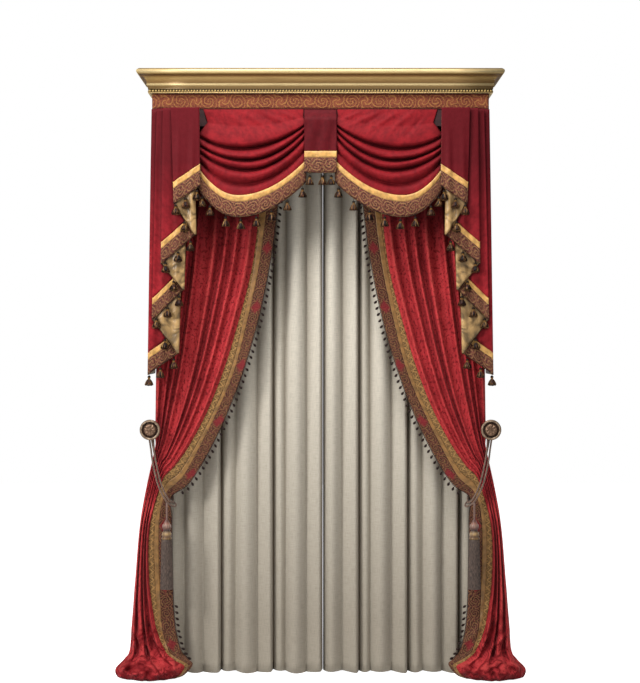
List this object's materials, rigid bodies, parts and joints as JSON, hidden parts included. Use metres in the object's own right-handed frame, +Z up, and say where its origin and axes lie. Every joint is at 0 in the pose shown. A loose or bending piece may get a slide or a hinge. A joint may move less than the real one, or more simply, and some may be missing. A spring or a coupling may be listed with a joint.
{
  "type": "pair of swagged curtains with a cornice",
  "caption": "Tied-back curtain pair with swags, stepped side cascades, fringed borders and cream inner curtains, hung from a gilt cornice.",
  "frame": {"origin": "centre of the top board's back face, on the wall", "axes": "+Y into the wall, +Z up, +X to the right for a viewer in the room"},
  "size_m": [1.8672, 0.3772, 2.755],
  "materials": {
    "gilt_wood": "aged gilding on a carved wooden moulding",
    "painted_board": "plain painted board",
    "red_velvet": "crushed velvet",
    "cream_cloth": "plain matt weave",
    "gold_braid": "satin band",
    "woven_border": "figured weave",
    "woven_galloon": "figured galloon with scroll medallions",
    "leaf_strip": "figured weave",
    "gold_lining": "satin lining",
    "tassel_fringe": "cut silk tassels",
    "bronze": "antique bronze",
    "taupe_cord": "twisted cord",
    "tassel_head": "silk wound over a wooden mould"
  },
  "bodies": {
    "root": {"top_board": "painted_board", "fascia_board": "painted_board", "return_board_left": "painted_board", "return_board_right": "painted_board", "cornice_front": "gilt_wood", "cornice_return_left": "gilt_wood", "cornice_return_right": "gilt_wood", "galloon_front": "woven_galloon", "galloon_return_left": "woven_galloon", "galloon_return_right": "woven_galloon", "swag_left": "red_velvet", "swag_right": "red_velvet", "swag_gold_left": "gold_braid", "swag_gold_right": "gold_braid", "swag_border_left": "woven_border", "swag_border_right": "woven_border", "swag_fringe_left": "tassel_fringe", "swag_fringe_right": "tassel_fringe", "tab": "red_velvet", "tab_gold": "gold_braid", "tab_border": "woven_border", "tab_fringe": "tassel_fringe", "cascade_left": "red_velvet", "cascade_right": "red_velvet", "cascade_lining_left": "gold_lining", "cascade_lining_right": "gold_lining", "cascade_gold_left": "gold_braid", "cascade_gold_right": "gold_braid", "cascade_border_left": "woven_border", "cascade_border_right": "woven_border", "cascade_fringe_left": "tassel_fringe", "cascade_fringe_right": "tassel_fringe", "curtain_left": "red_velvet", "curtain_right": "red_velvet", "leaf_strip_left": "leaf_strip", "leaf_strip_right": "leaf_strip", "curtain_gold_left": "gold_braid", "curtain_gold_right": "gold_braid", "curtain_border_left": "woven_border", "curtain_border_right": "woven_border", "bead_fringe_left": "tassel_fringe", "bead_fringe_right": "tassel_fringe", "cream_curtain_left": "cream_cloth", "cream_curtain_right": "cream_cloth", "holdback_left": "bronze", "holdback_right": "bronze", "tie_cord_inner_left": "taupe_cord", "tie_cord_inner_right": "taupe_cord", "tie_cord_outer_left": "taupe_cord", "tie_cord_outer_right": "taupe_cord", "tie_tassel_head_left": "tassel_head", "tie_tassel_head_right": "tassel_head", "tie_tassel_skirt_left": "taupe_cord", "tie_tassel_skirt_right": "taupe_cord"}
  },
  "joints": []
}
